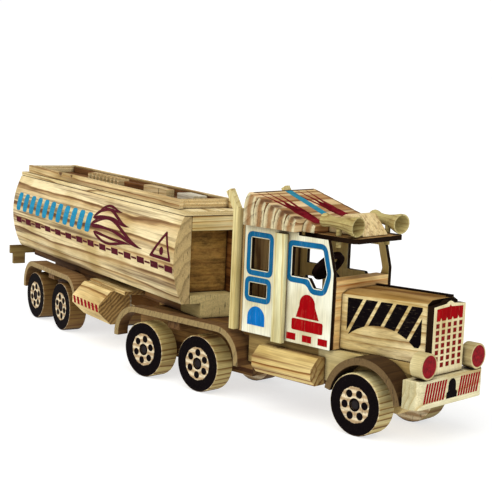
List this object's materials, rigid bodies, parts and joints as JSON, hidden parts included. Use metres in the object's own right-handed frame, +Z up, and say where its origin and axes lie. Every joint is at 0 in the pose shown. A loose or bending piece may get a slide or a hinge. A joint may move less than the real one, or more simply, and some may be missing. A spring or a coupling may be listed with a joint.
{
  "type": "wooden tank lorry model",
  "caption": "Wooden construction-kit lorry: bonneted sleeper-cab tractor on dowel axles with a tank trailer that swings on a kingpin.",
  "frame": {"origin": "bottom centre of the bounding box, on the ground the wheels stand on", "axes": "+X forwards along the tractor, +Y to its left, +Z up"},
  "size_m": [0.5376, 0.1628, 0.1443],
  "materials": {
    "pine": "sanded, unvarnished, brown carbonised grain",
    "wheel_pine": "turned pine with printed black tyre ring and hub spots",
    "sapwood": "sanded sapwood, greyish green end grain",
    "printed_ply": "pale plywood with screen-printed colours and laser-burnt edges",
    "resinous_pine": "orange-brown resinous pine",
    "dark_board": "dark brown fibrous board",
    "crimson_paint": "satin crimson paint on wood",
    "black_paint": "black stain on laser-cut ply"
  },
  "bodies": {
    "tractor": {"chassis_beam": "sapwood", "cab_base": "sapwood", "cab_rear_wall": "dark_board", "cowl_block": "resinous_pine", "hood_block": "pine", "radiator": "printed_ply", "bumper": "pine", "visor": "pine", "wind_deflector": "pine", "roof_board_1": "pine", "roof_board_2": "pine", "roof_board_3": "pine", "roof_board_4": "pine", "roof_board_5": "pine", "roof_board_6": "pine", "cab_side_right": "printed_ply", "cab_strip_right": "printed_ply", "headlamp_right": "crimson_paint", "front_fender_right": "sapwood", "drive_fender_right": "sapwood", "fuel_tank_right": "pine", "exhaust_right": "sapwood", "horn_right": "sapwood", "cab_side_left": "printed_ply", "cab_strip_left": "printed_ply", "headlamp_left": "crimson_paint", "front_fender_left": "sapwood", "drive_fender_left": "sapwood", "fuel_tank_left": "pine", "exhaust_left": "sapwood", "horn_left": "sapwood"},
    "steering": {"steering_wheel": "black_paint"},
    "trailer": {"trailer_bed": "pine", "tank_top_board": "pine", "tank_lid": "pine", "hatch_frame": "pine", "tank_front_wall": "dark_board", "tank_rear_wall": "dark_board", "rear_plate": "resinous_pine", "tank_side_right": "pine", "trailer_fender_right": "sapwood", "side_locker_right": "pine", "tank_side_left": "pine", "trailer_fender_left": "sapwood", "side_locker_left": "pine"},
    "front_wheelset": {"front_axle": "sapwood", "front_wheel_right": "wheel_pine", "front_wheel_left": "wheel_pine"},
    "drive_1_wheelset": {"drive_1_axle": "sapwood", "drive_1_wheel_right": "wheel_pine", "drive_1_wheel_left": "wheel_pine"},
    "drive_2_wheelset": {"drive_2_axle": "sapwood", "drive_2_wheel_right": "wheel_pine", "drive_2_wheel_left": "wheel_pine"},
    "trailer_1_wheelset": {"trailer_1_axle": "sapwood", "trailer_1_wheel_right": "wheel_pine", "trailer_1_wheel_left": "wheel_pine"},
    "trailer_2_wheelset": {"trailer_2_axle": "sapwood", "trailer_2_wheel_right": "wheel_pine", "trailer_2_wheel_left": "wheel_pine"}
  },
  "joints": [
    {"name": "trailer_yaw", "type": "hinge", "parent": "tractor", "child": "trailer", "pos_m": [0.04678, -0.03911, 0.044], "axis": [0, 0, 1], "range_deg": [0, 32]},
    {"name": "steering_turn", "type": "hinge", "parent": "tractor", "child": "steering", "pos_m": [0.16999, -0.04578, 0.097], "axis": [0.766, 0, -0.6428], "continuous": true},
    {"name": "front_roll", "type": "hinge", "parent": "tractor", "child": "front_wheelset", "pos_m": [0.22099, -0.04078, 0.02], "axis": [0, 1, 0], "continuous": true},
    {"name": "drive_1_roll", "type": "hinge", "parent": "tractor", "child": "drive_1_wheelset", "pos_m": [0.08079, -0.04078, 0.02], "axis": [0, 1, 0], "continuous": true},
    {"name": "drive_2_roll", "type": "hinge", "parent": "tractor", "child": "drive_2_wheelset", "pos_m": [0.02499, -0.04078, 0.02], "axis": [0, 1, 0], "continuous": true},
    {"name": "trailer_1_roll", "type": "hinge", "parent": "trailer", "child": "trailer_1_wheelset", "pos_m": [-0.13116, 0.01368, 0.02], "axis": [0.2756, 0.9613, 0], "continuous": true},
    {"name": "trailer_2_roll", "type": "hinge", "parent": "trailer", "child": "trailer_2_wheelset", "pos_m": [-0.18614, 0.02945, 0.02], "axis": [0.2756, 0.9613, 0], "continuous": true}
  ]
}
